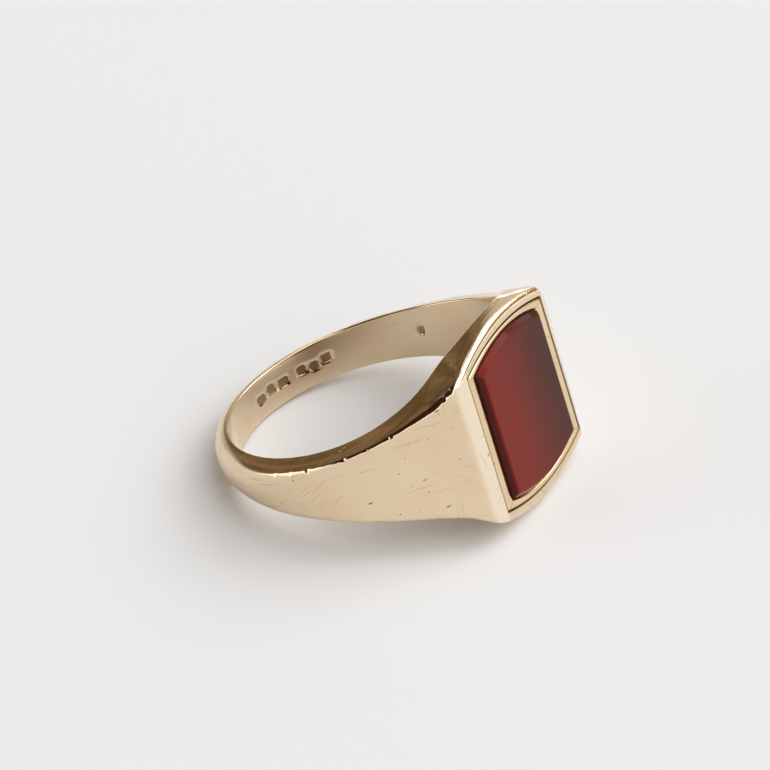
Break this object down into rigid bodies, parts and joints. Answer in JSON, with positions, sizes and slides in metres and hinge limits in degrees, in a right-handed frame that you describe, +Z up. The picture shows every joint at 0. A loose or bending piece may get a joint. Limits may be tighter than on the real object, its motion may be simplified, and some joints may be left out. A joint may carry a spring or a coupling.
{
  "type": "signet ring",
  "caption": "Gold signet ring with a tonneau head holding a flat bevelled carnelian tablet in a mitred bezel; worn on a finger.",
  "frame": {"origin": "under the middle of the ring's bounding box, on the surface the ring lies on", "axes": "+Z up; +X towards the head; +Y across the head. The ring lies on its side, so the finger hole's axis leans back from +Z towards -X"},
  "size_m": [0.0204, 0.0202, 0.0119],
  "materials": {
    "gold_body": "polished gold, worn and finely scratched",
    "gold_ledge": "as-soldered gold",
    "gold_bezel": "polished gold with worn edges",
    "cement": "dark setting cement",
    "carnelian": "polished, slightly translucent"
  },
  "bodies": {
    "root": {"ring_body": "gold_body", "bearing_ledge": "gold_ledge", "upper_bezel_rail": "gold_bezel", "lower_bezel_rail": "gold_bezel", "left_bezel_rail": "gold_bezel", "right_bezel_rail": "gold_bezel", "setting_cement": "cement", "seal_stone": "carnelian"}
  },
  "joints": []
}
